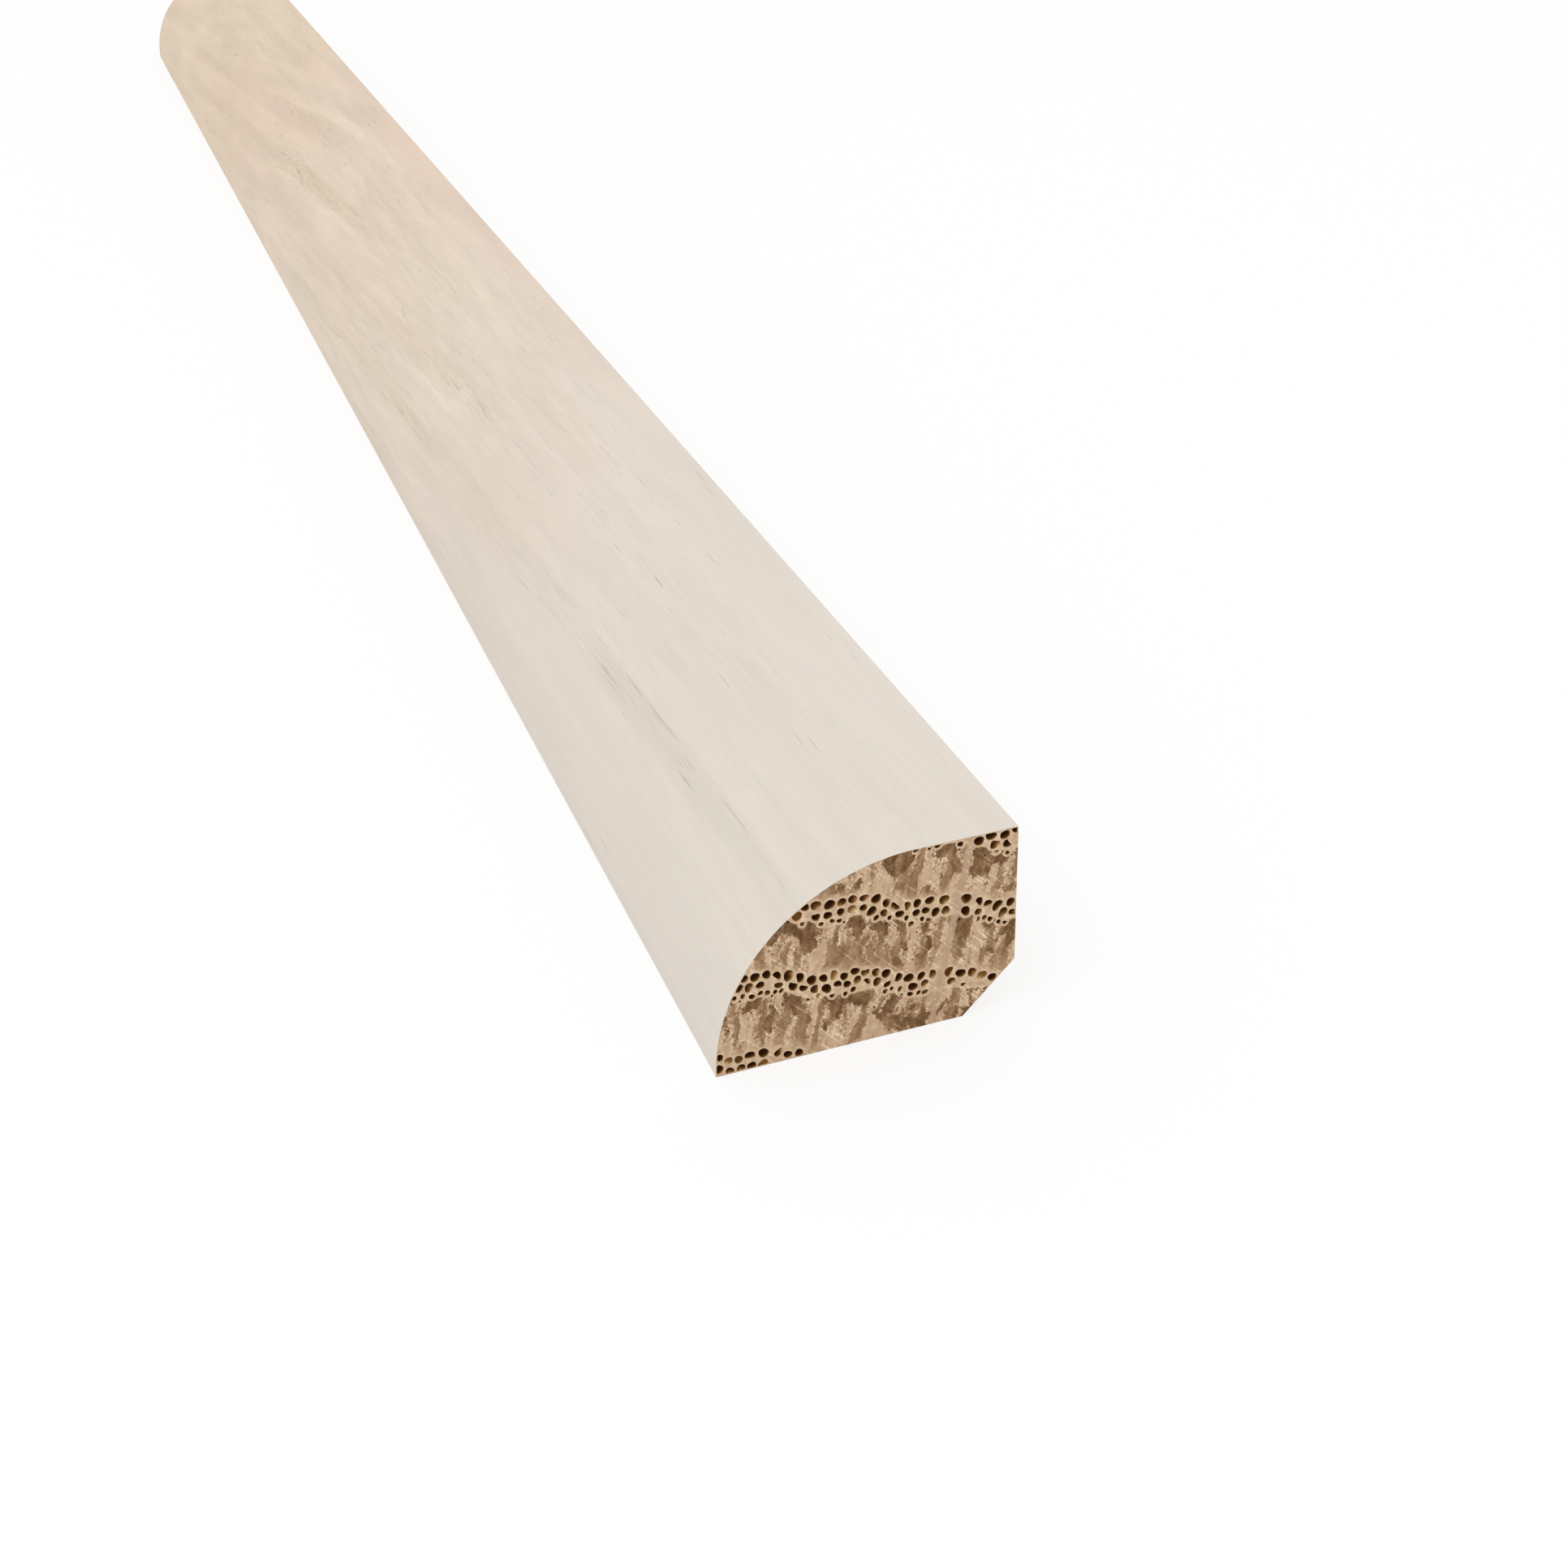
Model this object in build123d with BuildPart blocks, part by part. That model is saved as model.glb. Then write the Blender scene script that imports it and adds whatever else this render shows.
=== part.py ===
"""Shoe moulding: one length of solid wood trim that covers the gap between a floor and a skirting board.

It is milled from one piece. Its section has a flat floor face, a flat wall face, a narrow flat land on top
and a quarter round that falls from the land to the toe. The hidden inside corner is planed off at 45 degrees,
so that both flats seat where floor and wall don't meet in a clean corner. Both ends are sawn square.

Frame, in millimetres: X runs along the length, +Y points at the wall, +Z is up, and the origin is in the
middle of the length and of the width, on the floor.
"""

import os

from build123d import *

# Driving dimensions
LENGTH = 300.0
WIDTH = 19.05  # out from the wall along the floor, 3/4 in
HEIGHT = 12.70  # up the wall, 1/2 in
CORNER_RELIEF = 3.35  # each leg of the planed-off inside corner

# The round is tangent to the top land and meets the floor upright at the toe, so it is as high as the section.
round_radius = HEIGHT
toe_y = -WIDTH / 2
wall_y = WIDTH / 2
land_start_y = toe_y + round_radius

with BuildPart() as shoe_moulding:
    with BuildSketch(Plane.YZ) as section:
        with BuildLine() as outline:
            floor_line = Line((toe_y, 0), (wall_y, 0))
            wall_line = Line(floor_line @ 1, (wall_y, HEIGHT))
            top_land = Line(wall_line @ 1, (land_start_y, HEIGHT))
            quarter_round = RadiusArc(top_land @ 1, floor_line @ 0, -round_radius)
        make_face()
        inside_corner = section.vertices().group_by(Axis.Y)[0].sort_by(Axis.X)[-1]
        chamfer(inside_corner, CORNER_RELIEF)
    extrude(amount=LENGTH / 2, both=True)

shoe_moulding.part.label = "shoe_moulding"

os.makedirs("parts", exist_ok=True)
export_step(shoe_moulding.part, "parts/shoe_moulding.step")

print("volume", round(shoe_moulding.part.volume, 1), "mm3, section", round(section.sketch.area, 2), "mm2")
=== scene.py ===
"""Looks of a shoe moulding: one length of milled oak with a pale finish on its quarter round and top land.

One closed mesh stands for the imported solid. Its round is smooth, and the pores of both sawn ends are real
pits. Three materials share one model of how the wood grew, so rings, rays and pores agree where faces meet:
the finished face, the raw planed faces that are hidden in use, and the raw end grain.

Lengths are millimetres until they are written to Blender in metres. In the section, out is the distance from
the toe towards the wall and up the height over the floor. Along the length, deep is the distance from the
near end, which is the one at +X.
"""

import math
import random
from typing import NamedTuple

import bmesh
import bpy
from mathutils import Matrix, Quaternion, Vector
from mathutils.geometry import delaunay_2d_cdt


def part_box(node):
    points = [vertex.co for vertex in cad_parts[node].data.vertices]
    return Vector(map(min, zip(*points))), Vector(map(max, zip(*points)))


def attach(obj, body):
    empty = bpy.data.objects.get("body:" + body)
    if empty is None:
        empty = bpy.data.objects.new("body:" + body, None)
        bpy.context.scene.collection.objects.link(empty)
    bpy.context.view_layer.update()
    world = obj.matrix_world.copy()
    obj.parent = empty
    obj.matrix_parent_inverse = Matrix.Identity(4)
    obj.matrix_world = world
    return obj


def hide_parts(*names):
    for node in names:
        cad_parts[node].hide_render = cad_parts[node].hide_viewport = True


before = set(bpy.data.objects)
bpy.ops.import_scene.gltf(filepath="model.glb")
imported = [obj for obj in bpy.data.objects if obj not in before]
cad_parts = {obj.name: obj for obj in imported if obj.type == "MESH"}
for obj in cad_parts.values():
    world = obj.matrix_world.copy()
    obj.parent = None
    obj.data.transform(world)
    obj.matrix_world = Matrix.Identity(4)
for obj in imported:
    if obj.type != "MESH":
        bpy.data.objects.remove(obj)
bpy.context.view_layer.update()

MM = 0.001
NODE = "shoe_moulding"
low, high = (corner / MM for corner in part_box(NODE))
LENGTH, WIDTH, HEIGHT = high - low
ROUND_RADIUS = HEIGHT
CORNER_RELIEF = 3.35

# How fine the mesh is
LONG_STEPS = 60  # along the length
ROUND_STEPS = 72  # round the quarter circle
FLAT_SPACING = 0.5  # between points on the section's flats
RIM_POINTS = 16  # round a pore that has a wall
SMALL_RIM_POINTS = 9  # round a smaller one
ROUND_PORES = (0.08, 0.17, 0.30, 0.45)  # how far from a pore with a wall the rings of loose points lie
LOOSE_SPACING = 0.6  # between the loose points in all of a sawn end
LOOSE_JITTER = 0.2  # how far those are moved about
LOOSE_CELL = 0.07  # at most one loose point is kept in each square of this size
LOOSE_TO_EDGE = 0.12  # least distance from a loose point to the edge of the section
LOOSE_TO_PORE = 0.04  # and to a pore
INSIDE_ONLY = 1  # tells the triangulation to leave out what lies outside the outline
SAME_SPOT = 1e-7  # points closer than this would count as one

# How the wood grew. A ring's height is measured at the toe of the near end.
RING_FALL = 0.245  # a ring falls this far for each mm towards the wall
RAY_LEAN = 0.20  # a ray leans towards the wall this far for each mm up
FIBRE_FALL = 18.0  # how much lower a fibre lies at the far end
FIBRE_SHIFT = 8.0  # how much nearer to the toe it lies there
FIBRE_POWER = 1.4  # the fibres run nearly level at first and then turn away
FIBRE_SWAY = 0.8  # how strongly they swing to and fro on the way
SWAY_LENGTH = 13.0  # how long the swings are
SWAY_WIDTH = 2.5  # and how wide the strips that swing together
RING_WAVE = 4.0  # how strongly the rings wander between the two ends
WAVE_LENGTH = 60.0  # how long the waves of that are
WAVE_WIDTH = 14.0  # and how wide
ENDS_APART = 37.0  # how far apart the patterns of the two sawn ends lie in the noise
RING_WOBBLE = 0.20  # how far a ring swings up and down on its way from the toe to the wall
WOBBLE_ALONG = 1.03  # radians for each mm along a ring
WOBBLE_UP = 0.25  # and for each mm of its level
WOBBLE_START = -4.26
FIRST_RING = 1.75  # height of the lowest ring boundary
RING_WIDTH = 5.87
RING_NARROWING = 0.0085  # rings get narrower upwards, by this share for each mm
RING_COUNT = 11  # more boundaries than reach either end
WIDE_RAYS = (13.6, 18.9, -1.4)  # where the widest rays stand at the near end, as distances along the rings
RAY_HALF_WIDTH = 0.28
FAR_FROM_RAYS = 10.0  # the distance to a ray is carried no further than this

# Bands of pores that show through the finish
SLOW_YEARS = (
    # height of the ring boundary, from and to how far from the near end
    (12.5, 10.0, 90.0),
    (17.3, 95.0, 135.0),
    (21.8, 150.0, 235.0),
    (26.1, 160.0, 250.0),
)
OTHER_YEARS = 0.2  # how much the other bands show

# Pores of the first wood of each ring, row by row under the ring's boundary
PORE_ROWS = (
    # below the boundary, mean diameter, mean gap along the ring, share left out
    (0.34, 0.66, 0.07, 0.01),
    (0.92, 0.61, 0.02, 0.01),
    (1.40, 0.36, 0.12, 0.35),
    (1.66, 0.19, 0.70, 0.50),
)
ROW_STRAY = 0.10  # how far pores stray from their row
NEXT_TRY = 0.04  # how far along the ring the next place is tried
PORE_WALL = 0.05  # least wood between two pores
WIDEST_PORE = 1.0  # pores whose centres are further apart can't touch
FAR_FROM_PORES = 0.6  # the distance to a pore is carried no further than this
SMALLEST_WALLED = 0.13  # half width over which a pore has a pale wall of its own
EDGE_LIP = 0.05  # wood left between a pore and the edge of the section
HALVINGS = 12  # steps in which a rim that would pass the edge is drawn in
PIT_DEPTH = 0.5
DEEPEST = 1.8  # a pit is at most this many of its half widths deep
BLOCKED_SHARE = 0.12  # pores that are filled again close below the surface
SLOPING_SHARE = 0.45  # pores whose floor rises to the rim on one side
SLOPING_TO = -0.9  # the direction in which it rises, in the section, in radians
BROKEN_SHARE = 0.35  # pores with one side straight
UNEVENNESS = 0.05  # how far each of two waves makes a rim stray from its oval, as a share
PIT_RINGS = (
    # share of the depth, size, size on the bake map
    (0.06, 0.98, 0.92),
    (0.5, 0.93, 0.70),
    (1.0, 0.82, 0.40),
)

# Marks that tools and the brush left
KNIFE_PITCH = 1.6  # between two marks of the planer's knives
LAP_SWING = 3.0  # the finish reaches over an edge by this times a noise from 0 to 1
LAP_SHORT = 1.05  # less this, so that it doesn't reach over everywhere

# Bake map, in pixels
MAP_SIDE = 1024
MAP_GAP = 8
END_PIXELS_PER_MM = 26

rng = random.Random(19)


def ring_height(number):
    """Height of a ring boundary at the toe of the near end."""
    run = number * RING_WIDTH
    rise = (math.sqrt(1 + 4 * RING_NARROWING * run) - 1) / (2 * RING_NARROWING)
    return FIRST_RING + rise


def turned_away(deep):
    """How far the fibres have fallen, and shifted to the toe, at a distance from the near end."""
    share = (deep / LENGTH) ** FIBRE_POWER
    return FIBRE_FALL * share, FIBRE_SHIFT * share


def wobble(level, along):
    """How far a ring lies above its mean line there."""
    return RING_WOBBLE * math.cos(WOBBLE_ALONG * along + WOBBLE_UP * level + WOBBLE_START)


def from_growth(level, along):
    """Section place (out, up) at the near end of a point on a ring level, at a distance along the ring."""
    out = (along + RAY_LEAN * level) / (1 + RAY_LEAN * RING_FALL)
    return out, level - RING_FALL * out


def margin_at(out, up):
    """How far a section place lies inside the outline. It is negative outside."""
    relief = (WIDTH - out + up - CORNER_RELIEF) / math.sqrt(2)
    edges = [up, HEIGHT - up, WIDTH - out, relief]
    if out < ROUND_RADIUS:
        edges.append(ROUND_RADIUS - math.hypot(out - ROUND_RADIUS, up))
    return min(edges)


def kept_inside(centre, spot, margin):
    """The spot, or the last place on the way to it from the centre with this margin inside the outline."""
    if margin_at(*spot) >= margin:
        return spot
    reached, missed = 0.0, 1.0
    for _ in range(HALVINGS):
        share = (reached + missed) / 2
        place = tuple(a + (b - a) * share for a, b in zip(centre, spot))
        if margin_at(*place) >= margin:
            reached = share
        else:
            missed = share
    return tuple(a + (b - a) * reached for a, b in zip(centre, spot))


class Pore(NamedTuple):
    """One pore on a sawn end. Its oval holds all of its rim, give or take a little."""

    out: float
    up: float
    half_width: float
    half_height: float
    turn: float
    rim: tuple  # places round it, anticlockwise
    depth: float
    slope: float  # from 0 for a level floor to 1 for one that rises to the rim
    slope_to: float  # the direction in which it rises

    def distance(self, out, up):
        """About how far a place lies outside the pore's oval."""
        right, above = out - self.out, up - self.up
        cos, sin = math.cos(self.turn), math.sin(self.turn)
        across = (right * cos + above * sin) / self.half_width
        along = (above * cos - right * sin) / self.half_height
        return (math.hypot(across, along) - 1) * min(self.half_width, self.half_height)

    def outline(self, share):
        """The rim, drawn in or out from the pore's centre."""
        return [
            (self.out + share * (out - self.out), self.up + share * (up - self.up))
            for out, up in self.rim
        ]

    def lifts(self):
        """How far the floor has risen below each place of the rim, from 0 to 1."""
        angles = [math.atan2(up - self.up, out - self.out) for out, up in self.rim]
        return [self.slope * (0.5 + 0.5 * math.cos(angle - self.slope_to)) ** 2 for angle in angles]


def new_pore(out, up, diameter):
    """A pore of about this diameter: an uneven oval, sometimes with one side broken off straight."""
    size = diameter / 2 * rng.uniform(0.80, 1.10)
    stretch = rng.uniform(0.86, 1.16)
    half_width = size * (2 - stretch)
    half_height = size * stretch * 1.04
    turn = rng.gauss(-0.25, 0.5)
    bend = rng.uniform(0, 2 * math.pi)
    straight_at = rng.uniform(0.35, 0.7) if rng.random() < BROKEN_SHARE else 1.0
    slope = rng.uniform(0.75, 1.0) if rng.random() < SLOPING_SHARE else 0.0
    slope_to = rng.gauss(SLOPING_TO, 0.8)
    cos, sin = math.cos(turn), math.sin(turn)
    count = RIM_POINTS if half_width > SMALLEST_WALLED else SMALL_RIM_POINTS
    rim = []
    for step in range(count):
        angle = 2 * math.pi * step / count
        reach = 1 + UNEVENNESS * math.sin(2 * angle + bend) + UNEVENNESS * math.sin(3 * angle)
        facing = math.cos(angle - bend)
        if facing > straight_at:
            reach *= straight_at / facing
        across = reach * half_width * math.cos(angle)
        along = reach * half_height * math.sin(angle)
        spot = out + across * cos - along * sin, up + across * sin + along * cos
        rim.append(kept_inside((out, up), spot, EDGE_LIP))
    depth = min(PIT_DEPTH, DEEPEST * half_width)
    if rng.random() < BLOCKED_SHARE:
        depth *= rng.uniform(0.2, 0.5)
    return Pore(out, up, half_width, half_height, turn, tuple(rim), depth, slope, slope_to)


def fits(pore, others):
    """Whether a pore lies well enough inside the section and clear of the pores already there."""
    if margin_at(pore.out, pore.up) < 0.3 * pore.half_height:
        return False
    for other in others:
        if math.hypot(pore.out - other.out, pore.up - other.up) > WIDEST_PORE:
            continue
        if any(other.distance(*spot) < PORE_WALL for spot in pore.rim):
            return False
        if any(pore.distance(*spot) < PORE_WALL for spot in other.rim):
            return False
    return True


def pores_on_end(deep):
    """Every pore of one sawn end, packed row by row in each band."""
    pores = []
    fallen, shifted = turned_away(deep)
    first = shifted - RAY_LEAN * (fallen + HEIGHT)
    for number in range(RING_COUNT):
        for below, diameter, gap, left_out in PORE_ROWS:
            along = first
            while along < first + WIDTH + RAY_LEAN * HEIGHT:
                level = ring_height(number) - below + rng.gauss(0, ROW_STRAY)
                out, up = from_growth(level + wobble(level, along), along)
                out -= shifted
                up -= fallen
                ray_gap = min(abs(along - ray) for ray in WIDE_RAYS)
                if margin_at(out, up) < 2 * EDGE_LIP or ray_gap < RAY_HALF_WIDTH + 0.3 * diameter:
                    along += 2 * NEXT_TRY
                    continue
                pore = new_pore(out, up, diameter)
                if not fits(pore, pores):
                    along += NEXT_TRY
                    continue
                if rng.random() > left_out:
                    pores.append(pore)
                along += 2 * pore.half_width + PORE_WALL + rng.expovariate(1 / gap)
    return pores


def clear_of(pores, out, up):
    """How far a place lies from the nearest pore that has a wall, up to a limit."""
    walled = (pore.distance(out, up) for pore in pores if pore.half_width > SMALLEST_WALLED)
    return max(0.0, min(FAR_FROM_PORES, *walled))


class Shell:
    """The mesh as it is gathered: points, what each point carries, and faces with their map places."""

    def __init__(self):
        self.points = []
        self.clears = []
        self.pits = []
        self.faces = []
        self.places = []
        self.materials = []
        self.smooth = []

    def point(self, deep, out, up, clear=FAR_FROM_PORES, pit=0.0):
        """Adds a point, with its distance to the nearest pore and the painted shade of a pit there, from 0
        to 1.
        """
        self.points.append((high.x - deep, low.y + out, low.z + up))
        self.clears.append(clear)
        self.pits.append(pit)
        return len(self.points) - 1

    def face(self, corners, places, material, smooth=False):
        """Adds a face, with the place of each corner on the bake map."""
        self.faces.append(corners)
        self.places.append(places)
        self.materials.append(material)
        self.smooth.append(smooth)


# Places in the moulding's list of materials
FINISHED, PLANED, SAWN = range(3)


def stretch_of(start, end):
    """Points of a straight stretch, without its last one."""
    count = max(1, round(math.dist(start, end) / FLAT_SPACING))
    return [
        (start[0] + (end[0] - start[0]) * i / count, start[1] + (end[1] - start[1]) * i / count)
        for i in range(count)
    ]


def section_runs():
    """The outline from the toe, anticlockwise seen from +X, as runs of points with their material."""
    toe = (0.0, 0.0)
    floor_end = (WIDTH - CORNER_RELIEF, 0.0)
    wall_start = (WIDTH, CORNER_RELIEF)
    land_back = (WIDTH, HEIGHT)
    land_front = (ROUND_RADIUS, HEIGHT)
    arc = []
    for step in range(ROUND_STEPS):
        angle = math.pi / 2 * (1 + step / ROUND_STEPS)
        arc.append((ROUND_RADIUS + ROUND_RADIUS * math.cos(angle), ROUND_RADIUS * math.sin(angle)))
    return [
        (stretch_of(toe, floor_end), PLANED),
        (stretch_of(floor_end, wall_start), PLANED),
        (stretch_of(wall_start, land_back), PLANED),
        (stretch_of(land_back, land_front), FINISHED),
        (arc, FINISHED),
    ]


def add_long_faces(shell):
    """The faces along the length. Returns the outline, and its points' indices on the near and far end."""
    outline = []
    materials = []
    for points, material in section_runs():
        outline += points
        materials += [material] * len(points)
    stations = [LENGTH * i / LONG_STEPS for i in range(LONG_STEPS + 1)]
    loops = [[shell.point(deep, out, up) for out, up in outline] for deep in stations]

    travelled = [0.0]
    for here, there in zip(outline, outline[1:] + outline[:1]):
        travelled.append(travelled[-1] + math.dist(here, there))
    girth = travelled[-1]
    strip_width = MAP_SIDE - 2 * MAP_GAP
    strip_height = MAP_SIDE - 3 * MAP_GAP - END_PIXELS_PER_MM * HEIGHT

    def place(station, girth_at):
        return (
            (MAP_GAP + strip_width * stations[station] / LENGTH) / MAP_SIDE,
            (MAP_GAP + strip_height * girth_at / girth) / MAP_SIDE,
        )

    for near in range(LONG_STEPS):
        far = near + 1
        for i, material in enumerate(materials):
            j = (i + 1) % len(outline)
            corners = (loops[near][i], loops[far][i], loops[far][j], loops[near][j])
            places = (
                place(near, travelled[i]),
                place(far, travelled[i]),
                place(far, travelled[i + 1]),
                place(near, travelled[i + 1]),
            )
            shell.face(corners, places, material, material == FINISHED)
    return outline, loops[0], loops[-1]


def loose_points(pores):
    """Points between the pores, close round each one and sparse elsewhere.

    With them, what the points of the mesh carry fades evenly from a pore to the wood around it.
    """
    wanted = []
    for pore in pores:
        size = min(pore.half_width, pore.half_height)
        if pore.half_width > SMALLEST_WALLED:
            for gap in ROUND_PORES:
                wanted += pore.outline(1 + gap / size)
    for row in range(int(HEIGHT / LOOSE_SPACING) + 1):
        for column in range(int(WIDTH / LOOSE_SPACING) + 1):
            out = column * LOOSE_SPACING + rng.uniform(-LOOSE_JITTER, LOOSE_JITTER)
            up = row * LOOSE_SPACING + rng.uniform(-LOOSE_JITTER, LOOSE_JITTER)
            wanted.append((out, up))
    kept = []
    taken = set()
    for out, up in wanted:
        key = round(out / LOOSE_CELL), round(up / LOOSE_CELL)
        if key in taken or margin_at(out, up) < LOOSE_TO_EDGE:
            continue
        if any(pore.distance(out, up) < LOOSE_TO_PORE for pore in pores):
            continue
        taken.add(key)
        kept.append((out, up))
    return kept


def add_sawn_end(shell, outline, edge, deep, turned_back, map_left):
    """One sawn end: a flat face round its pores, and each pore as a pit."""
    pores = pores_on_end(deep)
    inward = -1 if turned_back else 1
    map_bottom = MAP_SIDE - MAP_GAP - END_PIXELS_PER_MM * HEIGHT

    def place(out, up):
        across = WIDTH - out if turned_back else out
        return (
            (map_left + END_PIXELS_PER_MM * across) / MAP_SIDE,
            (map_bottom + END_PIXELS_PER_MM * up) / MAP_SIDE,
        )

    spots = list(outline)
    indices = list(edge)
    owner = [None] * len(outline)  # the number of the pore whose rim a spot is on
    bounds = [(i, (i + 1) % len(outline)) for i in range(len(outline))]
    rings = []
    for number, pore in enumerate(pores):
        ring = pore.rim
        start = len(spots)
        spots += ring
        owner += [number] * len(ring)
        bounds += [(start + i, start + (i + 1) % len(ring)) for i in range(len(ring))]
        rings.append(range(start, start + len(ring)))
        indices += [shell.point(deep, out, up, clear=clear_of(pores, out, up)) for out, up in ring]
    for out, up in loose_points(pores):
        spots.append((out, up))
        owner.append(None)
        indices.append(shell.point(deep, out, up, clear=clear_of(pores, out, up)))

    flat = [Vector(spot) for spot in spots]
    _, _, triangles, sources, _, _ = delaunay_2d_cdt(flat, bounds, [], INSIDE_ONLY, SAME_SPOT)
    for triangle in triangles:
        corners = [sources[i][0] for i in triangle]
        owners = {owner[i] for i in corners}
        if len(owners) == 1 and None not in owners:
            continue
        if turned_back:
            corners.reverse()
        shell.face([indices[i] for i in corners], [place(*spots[i]) for i in corners], SAWN)

    for pore, ring in zip(pores, rings):
        add_pit(shell, pore, [indices[i] for i in ring], deep, inward, place)


def add_pit(shell, pore, rim, deep, inward, place):
    """The pit of one pore, from the rim's points inwards."""
    # A pit's points carry painted shade: darker the deeper they lie, lighter where the floor rises
    darkest_pit_shade = min(1.0, pore.depth / min(PIT_DEPTH, DEEPEST * pore.half_width) + 0.2)

    def painted_pit_shade(sunk, lift):
        """Painted shade at a point of the pit, at a share of its depth and where its floor has risen by
        lift.
        """
        return darkest_pit_shade * sunk ** 0.4 * (1 - 0.85 * lift)

    def facing_out(corners):
        return tuple(reversed(corners)) if inward < 0 else tuple(corners)

    count = len(rim)
    lifts = pore.lifts()
    before, before_places = rim, [place(*spot) for spot in pore.rim]
    for sunk, size, map_size in PIT_RINGS:
        ring = []
        for lift, spot in zip(lifts, pore.outline(size)):
            ring_deep = deep + inward * pore.depth * sunk * (1 - lift)
            ring.append(shell.point(ring_deep, *spot, clear=0.0, pit=painted_pit_shade(sunk, lift)))
        ring_places = [place(*spot) for spot in pore.outline(map_size)]
        for i in range(count):
            j = (i + 1) % count
            corners = (before[i], before[j], ring[j], ring[i])
            places = (before_places[i], before_places[j], ring_places[j], ring_places[i])
            shell.face(facing_out(corners), facing_out(places), SAWN, True)
        before, before_places = ring, ring_places
    centre_lift = 0.15 * pore.slope
    centre_deep = deep + inward * pore.depth * (1 - centre_lift)
    centre = shell.point(centre_deep, pore.out, pore.up, clear=0.0, pit=painted_pit_shade(1.0, centre_lift))
    centre_place = place(pore.out, pore.up)
    for i in range(count):
        j = (i + 1) % count
        corners = (before[i], before[j], centre)
        places = (before_places[i], before_places[j], centre_place)
        shell.face(facing_out(corners), facing_out(places), SAWN, True)


def keep_edges_crisp(mesh):
    """Smooth shading stays within the round and the land, and within each pit."""
    build = bmesh.new()
    build.from_mesh(mesh)
    for edge in build.edges:
        edge.smooth = all(face.smooth for face in edge.link_faces)
    build.to_mesh(mesh)
    build.free()


def make_moulding(materials):
    """The whole moulding as one closed mesh in metres."""
    shell = Shell()
    outline, near_edge, far_edge = add_long_faces(shell)
    end_width = END_PIXELS_PER_MM * WIDTH
    add_sawn_end(shell, outline, near_edge, 0.0, False, MAP_GAP)
    add_sawn_end(shell, outline, far_edge, LENGTH, True, 2 * MAP_GAP + end_width)

    mesh = bpy.data.meshes.new("shoe_moulding_milled")
    mesh.from_pydata([Vector(point) * MM for point in shell.points], [], shell.faces)
    mesh.polygons.foreach_set("material_index", shell.materials)
    mesh.polygons.foreach_set("use_smooth", shell.smooth)
    bake_map = mesh.uv_layers.new(name="OFBake")
    bake_map.data.foreach_set("uv", [v for places in shell.places for place in places for v in place])
    mesh.attributes.new("clear", "FLOAT", "POINT").data.foreach_set("value", shell.clears)
    mesh.attributes.new("pit", "FLOAT", "POINT").data.foreach_set("value", shell.pits)
    for material in materials:
        mesh.materials.append(material)
    keep_edges_crisp(mesh)
    moulding = bpy.data.objects.new("shoe_moulding_milled", mesh)
    bpy.context.collection.objects.link(moulding)
    return moulding


def paint(code):
    """A linear colour from six hex digits as a screen shows them."""
    channels = (int(code[i : i + 2], 16) / 255 for i in (0, 2, 4))
    return (*(c / 12.92 if c <= 0.04045 else ((c + 0.055) / 1.055) ** 2.4 for c in channels), 1.0)


class Value:
    """A node's output. Arithmetic with it adds the nodes that work it out."""

    def __init__(self, nodes, socket):
        self.nodes = nodes
        self.socket = socket

    def __add__(self, other):
        return self.nodes.math("ADD", self, other)

    def __radd__(self, other):
        return self.nodes.math("ADD", other, self)

    def __sub__(self, other):
        return self.nodes.math("SUBTRACT", self, other)

    def __rsub__(self, other):
        return self.nodes.math("SUBTRACT", other, self)

    def __mul__(self, other):
        return self.nodes.math("MULTIPLY", self, other)

    def __truediv__(self, number):
        """Division, by a plain number only."""
        return self.nodes.math("MULTIPLY", self, 1 / number)


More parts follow.
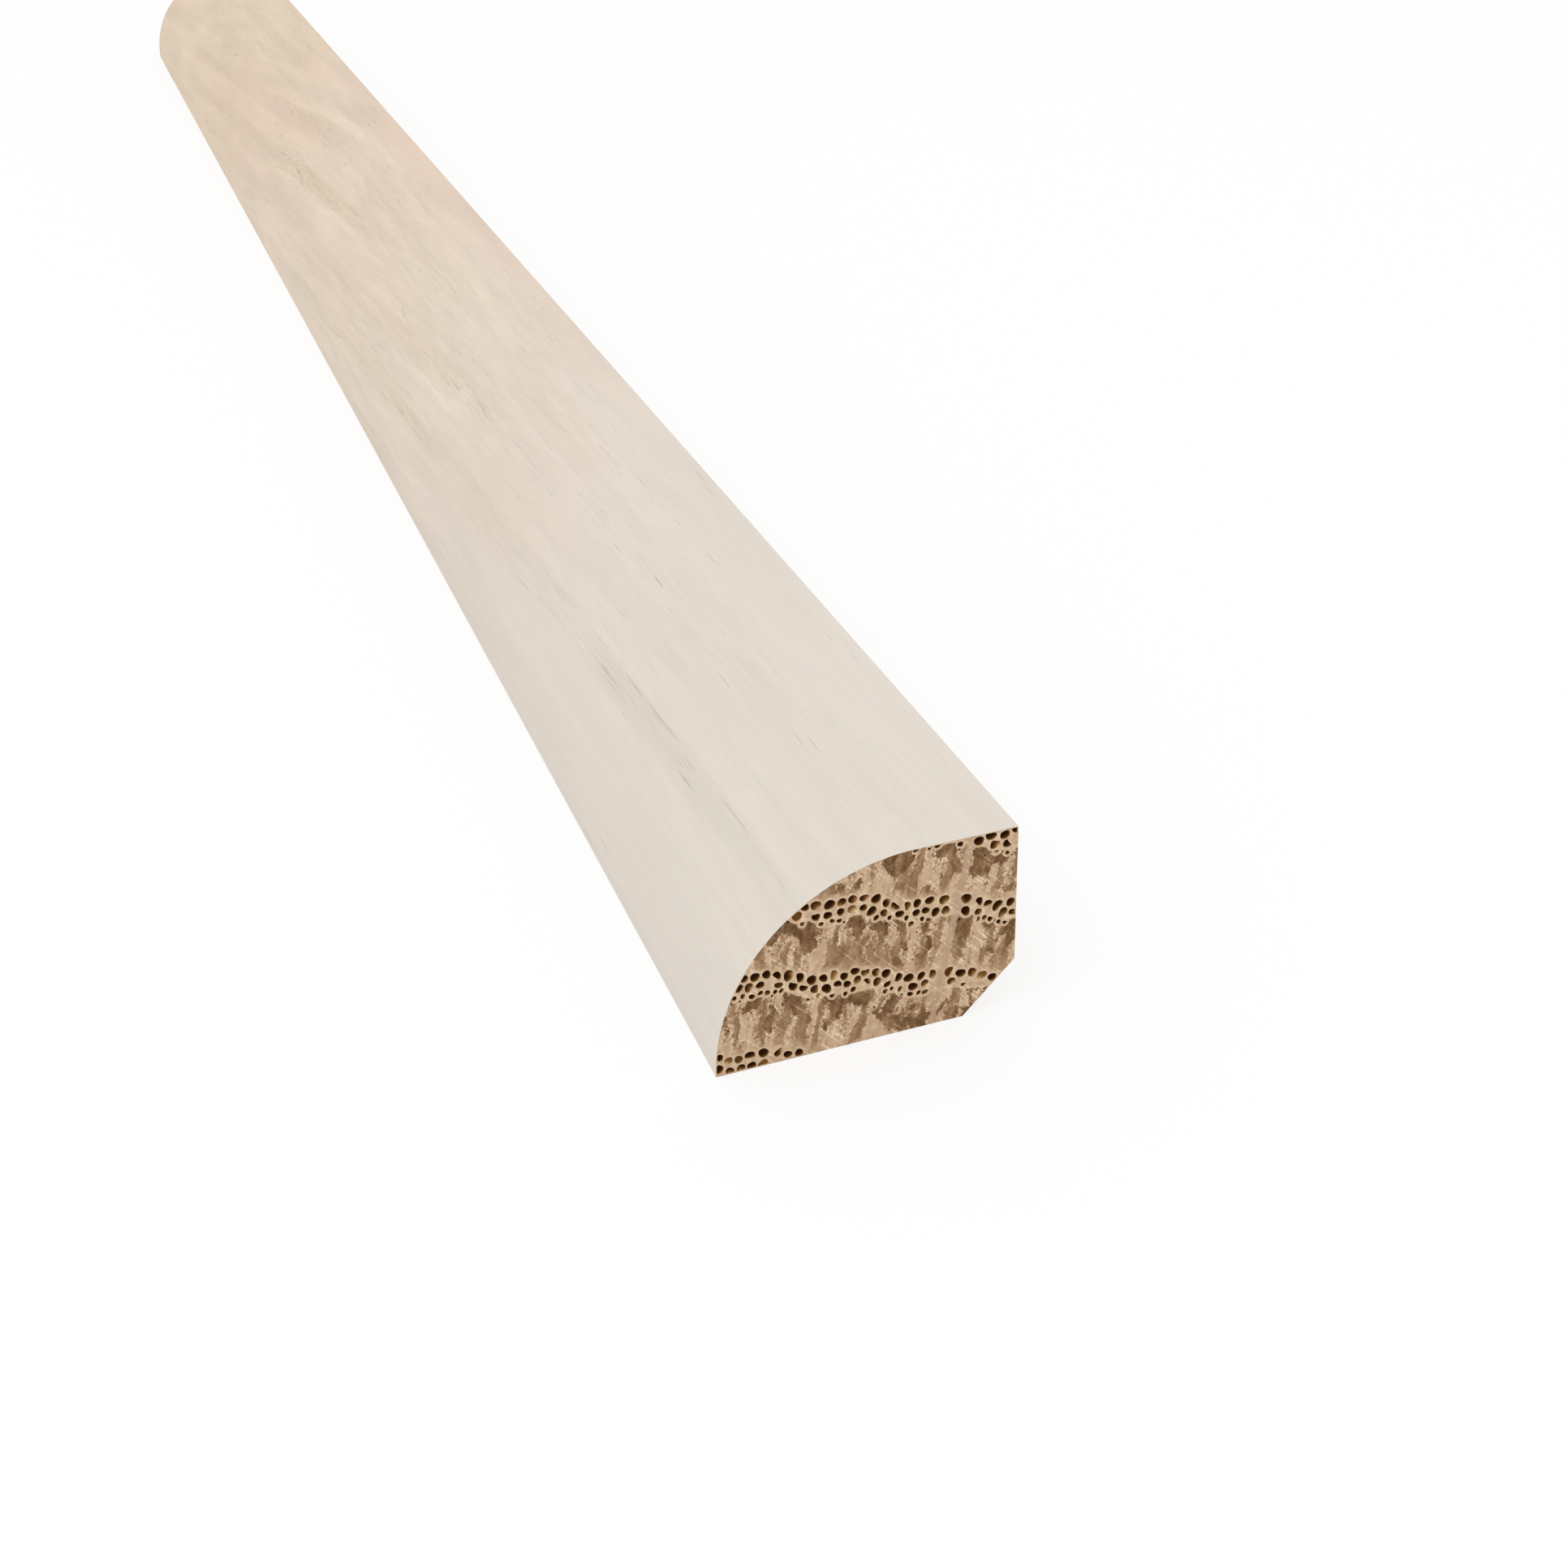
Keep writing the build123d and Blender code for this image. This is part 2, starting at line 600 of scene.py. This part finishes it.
class Nodes:
    """The nodes of a material or of the world. An input may be a Value, or a plain number or colour."""

    def __init__(self, owner):
        owner.use_nodes = True
        self.owner = owner
        self.tree = owner.node_tree

    def node(self, kind, **settings):
        """A new node with these settings."""
        made = self.tree.nodes.new("ShaderNode" + kind)
        for name, value in settings.items():
            setattr(made, name, value)
        return made

    def put(self, socket, value):
        """Links a Value to an input, or writes a plain value there."""
        if isinstance(value, Value):
            self.tree.links.new(value.socket, socket)
        else:
            socket.default_value = value

    def made(self, kind, inputs, output=0, **settings):
        """One output of a new node. Its inputs are filled by name or by number."""
        node = self.node(kind, **settings)
        for key, value in inputs.items():
            self.put(node.inputs[key], value)
        return Value(self, node.outputs[output])

    def math(self, operation, *values):
        return self.made("Math", dict(enumerate(values)), operation=operation)

    def most(self, first, *others):
        """The largest of some values."""
        for other in others:
            first = self.math("MAXIMUM", first, other)
        return first

    def fade(self, value, start, end, low=0.0, high=1.0):
        """Goes smoothly from low to high as the value goes from start to end."""
        inputs = dict(enumerate((value, start, end, low, high)))
        return self.made("MapRange", inputs, interpolation_type="SMOOTHSTEP")

    def between(self, value, start, end, soft_start, soft_end):
        """1 from start to end, fading to 0 outside over the two soft distances."""
        rise = self.fade(value, start - soft_start, start)
        fall = self.fade(value, end, end + soft_end, 1.0, 0.0)
        return rise * fall

    def vector(self, x, y, z):
        return self.made("CombineXYZ", {0: x, 1: y, 2: z})

    def noise(self, vector, detail=1.0, roughness=0.5):
        """Noise from about 0.2 to 0.8 round 0.5."""
        inputs = {"Vector": vector, "Scale": 1.0, "Detail": detail, "Roughness": roughness}
        return self.made("TexNoise", inputs, "Fac")

    def cells(self, vector):
        """Distance to the nearest of scattered cell centres, and a random value for that cell."""
        made = self.node("TexVoronoi")
        self.put(made.inputs["Vector"], vector)
        self.put(made.inputs["Scale"], 1.0)
        chance = self.made("SeparateColor", {0: Value(self, made.outputs["Color"])})
        return Value(self, made.outputs["Distance"]), chance

    def blend(self, factor, a, b):
        """The colour a, replaced by b as far as the factor says."""
        return self.made("Mix", {"Factor": factor, "A": a, "B": b}, "Result", data_type="RGBA")

    def shades(self, value, *stops):
        """A colour from (place, colour) stops."""
        made = self.node("ValToRGB")
        ramp = made.color_ramp
        while len(ramp.elements) < len(stops):
            ramp.elements.new(0.5)
        for element, (place, code) in zip(ramp.elements, stops):
            element.position = place
            element.color = paint(code)
        self.put(made.inputs["Fac"], value)
        return Value(self, made.outputs["Color"])

    def brighten(self, colour, factor):
        """The colour times a number near 1."""
        return self.made("VectorMath", {"Vector": colour, "Scale": factor}, "Vector", operation="SCALE")

    def mix_shaders(self, factor, a, b):
        return self.made("MixShader", {0: factor, 1: a, 2: b})

    def carried(self, name):
        """What the points of the mesh carry under this name."""
        return self.made("Attribute", {}, "Fac", attribute_name=name)

    def finish(self, colour, roughness, height, bump_distance):
        """Wires colour, roughness and bump to the shader, and returns the material."""
        shader = self.tree.nodes["Principled BSDF"]
        self.put(shader.inputs["Base Color"], colour)
        self.put(shader.inputs["Roughness"], roughness)
        bump = {"Height": height, "Distance": bump_distance * MM, "Strength": 1.0}
        self.put(shader.inputs["Normal"], self.made("Bump", bump, "Normal"))
        return self.owner


class Growth(NamedTuple):
    """Where a point of the surface lies in the wood, in millimetres."""

    out: Value
    up: Value
    deep: Value
    end: Value  # 0 in the near half and ENDS_APART in the far half
    level: Value  # height across the rings
    along: Value  # distance along the rings
    phase: Value  # from 0 at a ring's boundary to 1 at the next one below
    ray_gap: Value  # distance from the nearest of the widest rays
    sway: Value  # how far the fibres lie off their mean line


def growth(n):
    """How the wood grew, as nodes, by the same rules as ring_height, turned_away, wobble and from_growth."""
    split = n.node("SeparateXYZ")
    n.put(split.inputs[0], n.made("TexCoord", {}, "Object"))
    x, y, z = (Value(n, output) / MM for output in split.outputs)
    out = y - low.y
    up = z - low.z
    deep = high.x - x
    end = n.math("GREATER_THAN", deep, LENGTH / 2) * ENDS_APART

    share = n.most(deep / LENGTH, 0.0)
    turned = n.math("POWER", share, FIBRE_POWER)
    out_before = out + turned * FIBRE_SHIFT
    up_before = up + turned * FIBRE_FALL
    level = up_before + out_before * RING_FALL
    wave = n.noise(n.vector(deep / WAVE_LENGTH, out / WAVE_WIDTH, up / WAVE_WIDTH)) - 0.5
    level += wave * (share * (1.0 - share) * RING_WAVE)
    along = out_before - up_before * RAY_LEAN
    swing = along * WOBBLE_ALONG + level * WOBBLE_UP + WOBBLE_START
    level -= n.math("COSINE", swing) * RING_WOBBLE

    rise = level - FIRST_RING
    number = rise / RING_WIDTH * (rise * RING_NARROWING + 1.0)
    phase = 1.0 - n.math("FRACT", number)
    ray_gap = FAR_FROM_RAYS
    for ray in WIDE_RAYS:
        ray_gap = n.math("MINIMUM", n.math("ABSOLUTE", along - ray), ray_gap)
    sway = n.noise(n.vector(deep / SWAY_LENGTH, out / SWAY_WIDTH, up / SWAY_WIDTH)) - 0.5
    return Growth(out, up, deep, end, level, along, phase, ray_gap, sway * FIBRE_SWAY)


def fibrous(n, grown, length, width, detail=1.0, roughness=0.5):
    """Noise drawn out along the fibres, in patterns of about this length and width."""
    place = n.vector(
        grown.deep / length,
        (grown.along + grown.sway) / width,
        (grown.level + grown.sway) / width,
    )
    return n.noise(place, detail, roughness)


def grained(n, grown, width, height, detail=1.0, roughness=0.5, aside=0.0):
    """Noise on a sawn end, in patterns of about this width along the rings and height across them."""
    place = n.vector((grown.along + aside) / width, grown.level / height, grown.end)
    return n.noise(place, detail, roughness)


def finish_colour(n, grown, hue):
    """The finish by itself: pale and cool at the near end and warmer away from it, with faint tints.

    The land, which faces up, is painted a little paler and cooler, as light from above would show it.
    """
    broad = fibrous(n, grown, 60, 5.0, 2.0)
    # Painted light: the upward land is drawn a little paler and cooler than the round
    land_painted_paler = n.fade(grown.out, 10, 15)
    warmth = grown.deep / LENGTH + (broad - 0.5) * 0.3 - land_painted_paler * 0.07
    colour = n.shades(
        warmth,
        (0.0, "E0D7CB"),
        (0.14, "E0D5C8"),
        (0.27, "E0D0BF"),
        (0.5, "DFCBB5"),
        (0.75, "DDC6AA"),
        (1.0, "DEC8A9"),
    )
    tinted = n.fade(grown.deep, 45, 190, 0.10, 1.0)
    colour = n.blend(n.fade(hue, 0.48, 0.70, 0.0, 0.55) * tinted, colour, paint("E1C6B2"))
    return n.blend(n.fade(hue, 0.50, 0.30, 0.0, 0.35) * tinted, colour, paint("D8CBB0"))


def pore_band(n, grown, patches):
    """How strongly the first wood of a ring shows through the finish, on the round and in patches."""
    band = n.between(grown.phase, 0.14, 0.30, 0.14, 0.25)
    on_round = n.fade(grown.out, ROUND_RADIUS - 3, ROUND_RADIUS + 1, 1.0, 0.0)
    slow_year = OTHER_YEARS
    for boundary, start, end in SLOW_YEARS:
        in_year = n.between(grown.level, boundary - 2.2, boundary + 0.2, 1.2, 1.2)
        in_reach = n.between(grown.deep, start, end, 30, 30)
        slow_year = n.most(in_year * in_reach, slow_year)
    return band * on_round * slow_year * n.fade(patches, 0.40, 0.56, 0.2, 1.0)


def open_vessels(n, grown, crowded, far, farther):
    """Thin lines where a vessel lies open under the finish, torn into short dashes."""
    bar = 0.79 - (crowded * 0.10 + (far + farther) * 0.015)
    wide_bar = 0.755 - crowded * 0.08
    short = n.fade(fibrous(n, grown, 11, 0.16), bar, bar + 0.10)
    long = n.fade(fibrous(n, grown, 24, 0.16), bar, bar + 0.10)
    wide = n.fade(fibrous(n, grown, 13, 0.30), wide_bar, wide_bar + 0.10) * farther
    torn = n.fade(fibrous(n, grown, 4, 0.5), 0.36, 0.56, 0.25, 1.0)
    return n.most(short, long, wide) * torn


def finished_face():
    """Pale, nearly opaque satin finish through which the oak's grain shows very faintly."""
    n = Nodes(bpy.data.materials.new("pale_finish_on_oak"))
    grown = growth(n)
    far = n.fade(grown.deep, 5, 120)
    farther = n.fade(grown.deep, 110, 190)
    hue = fibrous(n, grown, 90, 7.0)
    clouds = fibrous(n, grown, 26, 3.6)
    washes = fibrous(n, grown, 40, 2.6, 2.0)
    streaks = fibrous(n, grown, 12, 0.8, 2.0)
    veins = fibrous(n, grown, 7, 0.36, 2.0)
    fibres = fibrous(n, grown, 3, 0.14, 2.0, 0.6)

    band = pore_band(n, grown, washes * 0.5 + clouds * 0.5)
    below_finish = n.blend(far, paint("B9B4A5"), paint("BCA486"))
    colour = n.blend(band * (farther * 0.14 + 0.20), finish_colour(n, grown, hue), below_finish)

    # The figure: broad patches, and on them streaks, veins and single fibres
    uneven = (washes - 0.5) * (far * 0.09 + 0.10) + (clouds - 0.5) * (far * 0.14 + farther * 0.20)
    grainy = (streaks - 0.5) * (far * 0.10 + 0.07)
    grainy += (veins - 0.5) * (far * 0.07 + 0.08)
    grainy += (fibres - 0.5) * (far * 0.02 + 0.07)
    grainy -= n.fade(veins, 0.62, 0.78, 0.0, 0.03)
    busy = n.fade(hue, 0.58, 0.42, 0.5, 1.12)
    colour = n.brighten(colour, uneven + grainy * busy + 1.0)

    # Vessels under the finish: soft dark and light lines, and here and there a thin open one
    crowded = n.fade(fibrous(n, grown, 50, 1.3), 0.46, 0.66) + band * 0.7
    lines = fibrous(n, grown, 12, 0.22)
    lined = n.fade(lines, 0.60, 0.72) * 0.08 - n.fade(lines, 0.38, 0.28) * 0.05
    colour = n.brighten(colour, 1.0 - lined * (n.fade(grown.deep, 5, 60) * crowded * busy))
    vessel = open_vessels(n, grown, crowded, far, farther)
    colour = n.blend(vessel * (far * 0.16 + farther * 0.14 + 0.32), colour, paint("8F8068"))

    roughness = fibres * 0.12 + 0.42
    height = fibres * 0.25 - vessel * 0.6
    return n.finish(colour, roughness, height, 0.02)


def planed_face():
    """Raw oak from the planer, on the faces hidden in use, with a little finish lapped over their edges."""
    n = Nodes(bpy.data.materials.new("raw_planed_oak"))
    grown = growth(n)
    broad = fibrous(n, grown, 90, 3.0, 2.0)
    streaks = fibrous(n, grown, 50, 0.6, 3.0)
    fibres = fibrous(n, grown, 9, 0.12, 3.0, 0.6)
    tone = broad * 0.45 + streaks * 0.55 - n.fade(grown.phase, 0.5, 1.0, 0.0, 0.10)
    colour = n.shades(tone, (0.25, "B08B61"), (0.42, "C2A178"), (0.55, "CFB18A"), (0.7, "DCC4A0"))
    colour = n.brighten(colour, (fibres - 0.5) * 0.28 + 1.0)

    # Vessels cut open along their length, crowded in each ring's first wood
    bar = 0.73 - n.between(grown.phase, 0.02, 0.30, 0.02, 0.10) * 0.13
    large = n.fade(fibrous(n, grown, 15, 0.24), bar, bar + 0.07)
    small = n.fade(fibrous(n, grown, 5, 0.12), 0.68, 0.78, 0.0, 0.5)
    vessel = n.most(large, small)
    colour = n.blend(vessel * 0.72, colour, paint("77583A"))

    # Rays are thin upright sheets: flecks on the wall face, short lines on the floor face
    sheets = n.noise(n.vector(grown.deep / 9, grown.along / 0.22, grown.level / 3.4))
    ray = n.fade(sheets, 0.66, 0.72)
    colour = n.blend(ray * 0.5, colour, paint("C9A07A"))

    # Finish that lapped over the edge of the land and of the toe
    ragged = n.noise(n.vector(grown.deep / 6, grown.out / 2, grown.up / 2), 4.0, 0.6)
    lapped = ragged * LAP_SWING - LAP_SHORT
    finish = n.fade(n.most(grown.up - HEIGHT + lapped, lapped - grown.out), 0.0, 0.12)
    colour = n.blend(finish * 0.88, colour, paint("DED2C2"))

    knife = n.math("SINE", grown.deep * (2 * math.pi / KNIFE_PITCH))
    roughness = fibres * 0.15 + 0.62 - n.most(ray, finish) * 0.18
    height = fibres * 0.3 - vessel + knife * 0.06
    return n.finish(colour, roughness, height, 0.05)


def brown_wood(n, grown, crumbled, aside):
    """How brown the end grain is, in clumps under the pores and in strips all the way down.

    The second value is 1 where brown meets pale and falls off to both sides.
    """
    clump = grained(n, grown, 1.25, 2.3, aside=aside) - n.fade(grown.phase, 0.30, 0.85, 0.45, 0.61)
    strip = (grained(n, grown, 0.72, 5.0, aside=aside) - 0.495) * 0.8
    in_clump = n.fade(clump + crumbled, 0.0, 0.04)
    in_strip = n.fade(strip + crumbled, 0.0, 0.045)
    core = n.fade(grained(n, grown, 0.9, 1.3) - grown.phase * 0.12, 0.30, 0.50)
    brown = n.most(in_clump * (core * 0.34 + 0.72), in_strip * 0.62)
    return brown, n.fade(n.math("ABSOLUTE", n.most(clump, strip)), 0.01, 0.07, 1.0, 0.10)


def saw_scratches(n, grown):
    """Fine scratches that run aslant over a sawn end."""
    across = (grown.out + grown.up) * math.sqrt(0.5)
    along = (grown.out - grown.up) * math.sqrt(0.5)
    return n.fade(n.noise(n.vector(across / 0.13, along / 3.2, grown.end + 5.0), 0.0), 0.67, 0.74)


def sawn_tone(n, grown, crumbs, fine, ray):
    """How light the end grain is, from 0 to 1."""
    clear = n.carried("clear")
    wander = grained(n, grown, 2.0, 1.6) - 0.5
    aside = wander * 0.9

    # The pale wood of the pores ends in a light lip that follows them, and the brown starts close below it
    edge = grown.phase + (crumbs * 0.10 + wander * 0.12)
    lip = n.between(edge, 0.25, 0.275, 0.02, 0.015)
    below_lip = n.fade(edge, 0.275, 0.30) * n.fade(clear + crumbs * 0.2, 0.10, 0.17)
    below_lip *= n.fade(edge, 0.84, 1.0, 1.0, 0.35)
    brown, border = brown_wood(n, grown, crumbs * 0.32 + fine * 0.10, aside)
    brown *= below_lip * (1.0 - ray * 0.85)
    border *= below_lip

    combed = grained(n, grown, 0.30, 1.8, 2.0, aside=aside) - 0.5
    lumps = grained(n, grown, 0.50, 0.65, 2.0) - 0.5
    grit = grained(n, grown, 0.18, 0.22)
    grit = n.fade(grit, 0.56, 0.68, 0.0, 0.22) - n.fade(grit, 0.42, 0.30, 0.0, 0.42)
    mottle = combed * 0.36 + lumps * 0.34 + fine * 0.40 + crumbs * 0.38 + grit * border
    tone = 0.77 + mottle * (1.0 - ray * 0.55) - brown * 0.48

    # Light grains stand in rows where brown meets pale
    distance, chance = n.cells(n.vector(grown.along / 0.20, grown.level / 0.24, grown.end))
    bead = n.fade(distance, 0.15, 0.42, 1.0, 0.0) * n.fade(chance, 0.45, 0.55)
    tone += bead * border * 0.34

    wall = n.fade(clear + crumbs * 0.3, 0.02, 0.24, 1.0, 0.0)
    tone += n.most(wall, lip * 1.2) * 0.08
    return tone + saw_scratches(n, grown) * 0.20


def sawn_face():
    """Raw end grain: brown fibres that hang from each band of pores, pale wood, rays and saw scratches.

    The pores' pits are painted darker the deeper they go, as shade would make them.
    """
    n = Nodes(bpy.data.materials.new("raw_end_grain_oak"))
    grown = growth(n)
    crumbs = grained(n, grown, 0.30, 0.36, 3.0, 0.65) - 0.5
    fine = grained(n, grown, 0.10, 0.12, 3.0, 0.7) - 0.5
    ray = n.fade(grown.ray_gap + crumbs * 0.6, 0.16, 0.34, 1.0, 0.0)
    tone = sawn_tone(n, grown, crumbs, fine, ray)
    colour = n.shades(
        tone,
        (0.0, "41250E"),
        (0.2, "684728"),
        (0.4, "8E6C4B"),
        (0.6, "B69473"),
        (0.78, "CFB090"),
        (0.92, "E3C7A5"),
        (1.0, "F1DCBC"),
    )
    tint = grained(n, grown, 2.6, 1.3)
    colour = n.blend(n.fade(tint, 0.60, 0.75, 0.0, 0.22), colour, paint("BFAE72"))
    colour = n.blend(ray * 0.4, colour, paint("B39278"))
    # Painted shade: the pits darken towards their floors and stay paler where a floor rises
    pit = n.carried("pit")
    inside = n.shades(pit, (0.15, "C9A774"), (0.4, "8C622E"), (0.7, "5A350C"), (1.0, "482504"))
    colour = n.blend(n.fade(pit, 0.0, 0.3), colour, inside)

    n.put(n.tree.nodes["Principled BSDF"].inputs["Specular IOR Level"], 0.25)
    roughness = 0.85 - ray * 0.2
    height = fine * 0.5 + tone * 0.5
    return n.finish(colour, roughness, height, 0.05)


def seen_directly(n):
    """1 for what the camera sees, straight, mirrored or through glass."""
    path = n.node("LightPath")
    rays = ("Is Camera Ray", "Is Glossy Ray", "Is Transmission Ray")
    return n.most(*(Value(n, path.outputs[ray]) for ray in rays))


WHITE = (1.0, 1.0, 1.0, 1.0)
SURROUND = 0.86  # how bright the floor and the world are for what they light
SHADOW_SHARE = 0.20  # how much of the shadow shows on the white floor
FLOOR_HALF = 3000.0
FLOOR_GAP = 0.02  # below the moulding, so that no two faces lie in one place
LAMP_PLACE = Vector((380.0, -400.0, 1000.0))
LAMP_WIDTH = 800.0
LAMP_POWER = 2.2


def make_floor():
    """A wide pale floor. Where the camera looks, it is white with the object's soft shadow."""
    n = Nodes(bpy.data.materials.new("studio_floor"))
    lighting = n.tree.nodes["Principled BSDF"]
    n.put(lighting.inputs["Base Color"], (SURROUND, SURROUND, SURROUND, 1.0))
    n.put(lighting.inputs["Roughness"], 0.9)
    shaded = n.made("BsdfDiffuse", {"Color": WHITE})
    glow = n.made("Emission", {"Strength": 1.0})
    shown = n.mix_shaders(1.0 - SHADOW_SHARE, shaded, glow)
    whole = n.mix_shaders(seen_directly(n), Value(n, lighting.outputs[0]), shown)
    n.put(n.tree.nodes["Material Output"].inputs["Surface"], whole)
    half = FLOOR_HALF * MM
    mesh = bpy.data.meshes.new("studio_floor")
    corners = [(-half, -half, 0), (half, -half, 0), (half, half, 0), (-half, half, 0)]
    mesh.from_pydata(corners, [], [(0, 1, 2, 3)])
    mesh.materials.append(n.owner)
    floor = bpy.data.objects.new("studio_floor", mesh)
    floor.location.z = (low.z - FLOOR_GAP) * MM
    bpy.context.collection.objects.link(floor)


def make_light():
    """An even white surround, and a large soft lamp overhead in front."""
    world = bpy.data.worlds.new("studio")
    bpy.context.scene.world = world
    n = Nodes(world)
    background = n.tree.nodes["Background"]
    n.put(background.inputs["Color"], WHITE)
    n.put(background.inputs["Strength"], n.fade(seen_directly(n), 0.0, 1.0, SURROUND, 1.0))

    lamp = bpy.data.lights.new("softbox", "AREA")
    lamp.shape = "DISK"
    lamp.size = LAMP_WIDTH * MM
    lamp.energy = LAMP_POWER
    softbox = bpy.data.objects.new("softbox", lamp)
    softbox.location = LAMP_PLACE * MM
    softbox.rotation_mode = "QUATERNION"
    softbox.rotation_quaternion = (-LAMP_PLACE).to_track_quat("-Z", "Y")
    bpy.context.collection.objects.link(softbox)


# The camera, as worked out from the photograph's vanishing points and the corners of the near end
CAMERA_PLACE = Vector((245.30, -37.76, 78.91))
CAMERA_AZIMUTH = math.radians(70.89)
CAMERA_DROP = math.radians(30.78)
CAMERA_ROLL = math.radians(-1.877)
CAMERA_VIEW_ANGLE = math.radians(40.0)
NEAREST_SEEN = 5.0
FURTHEST_SEEN = 20000.0


def make_camera():
    """The camera at the photograph's viewing angle."""
    data = bpy.data.cameras.new("camera")
    data.sensor_width = 36
    data.lens = data.sensor_width / 2 / math.tan(CAMERA_VIEW_ANGLE / 2)
    data.clip_start = NEAREST_SEEN * MM
    data.clip_end = FURTHEST_SEEN * MM
    camera = bpy.data.objects.new("camera", data)
    level = math.cos(CAMERA_DROP)
    looking = Vector(
        (-math.sin(CAMERA_AZIMUTH) * level, math.cos(CAMERA_AZIMUTH) * level, -math.sin(CAMERA_DROP))
    )
    camera.rotation_mode = "QUATERNION"
    camera.rotation_quaternion = looking.to_track_quat("-Z", "Y") @ Quaternion((0, 0, 1), CAMERA_ROLL)
    camera.location = CAMERA_PLACE * MM
    bpy.context.collection.objects.link(camera)
    bpy.context.scene.camera = camera


moulding = make_moulding([finished_face(), planed_face(), sawn_face()])
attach(moulding, "root")
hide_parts(NODE)

make_floor()
make_light()
make_camera()
bpy.context.scene.view_settings.view_transform = "Standard"
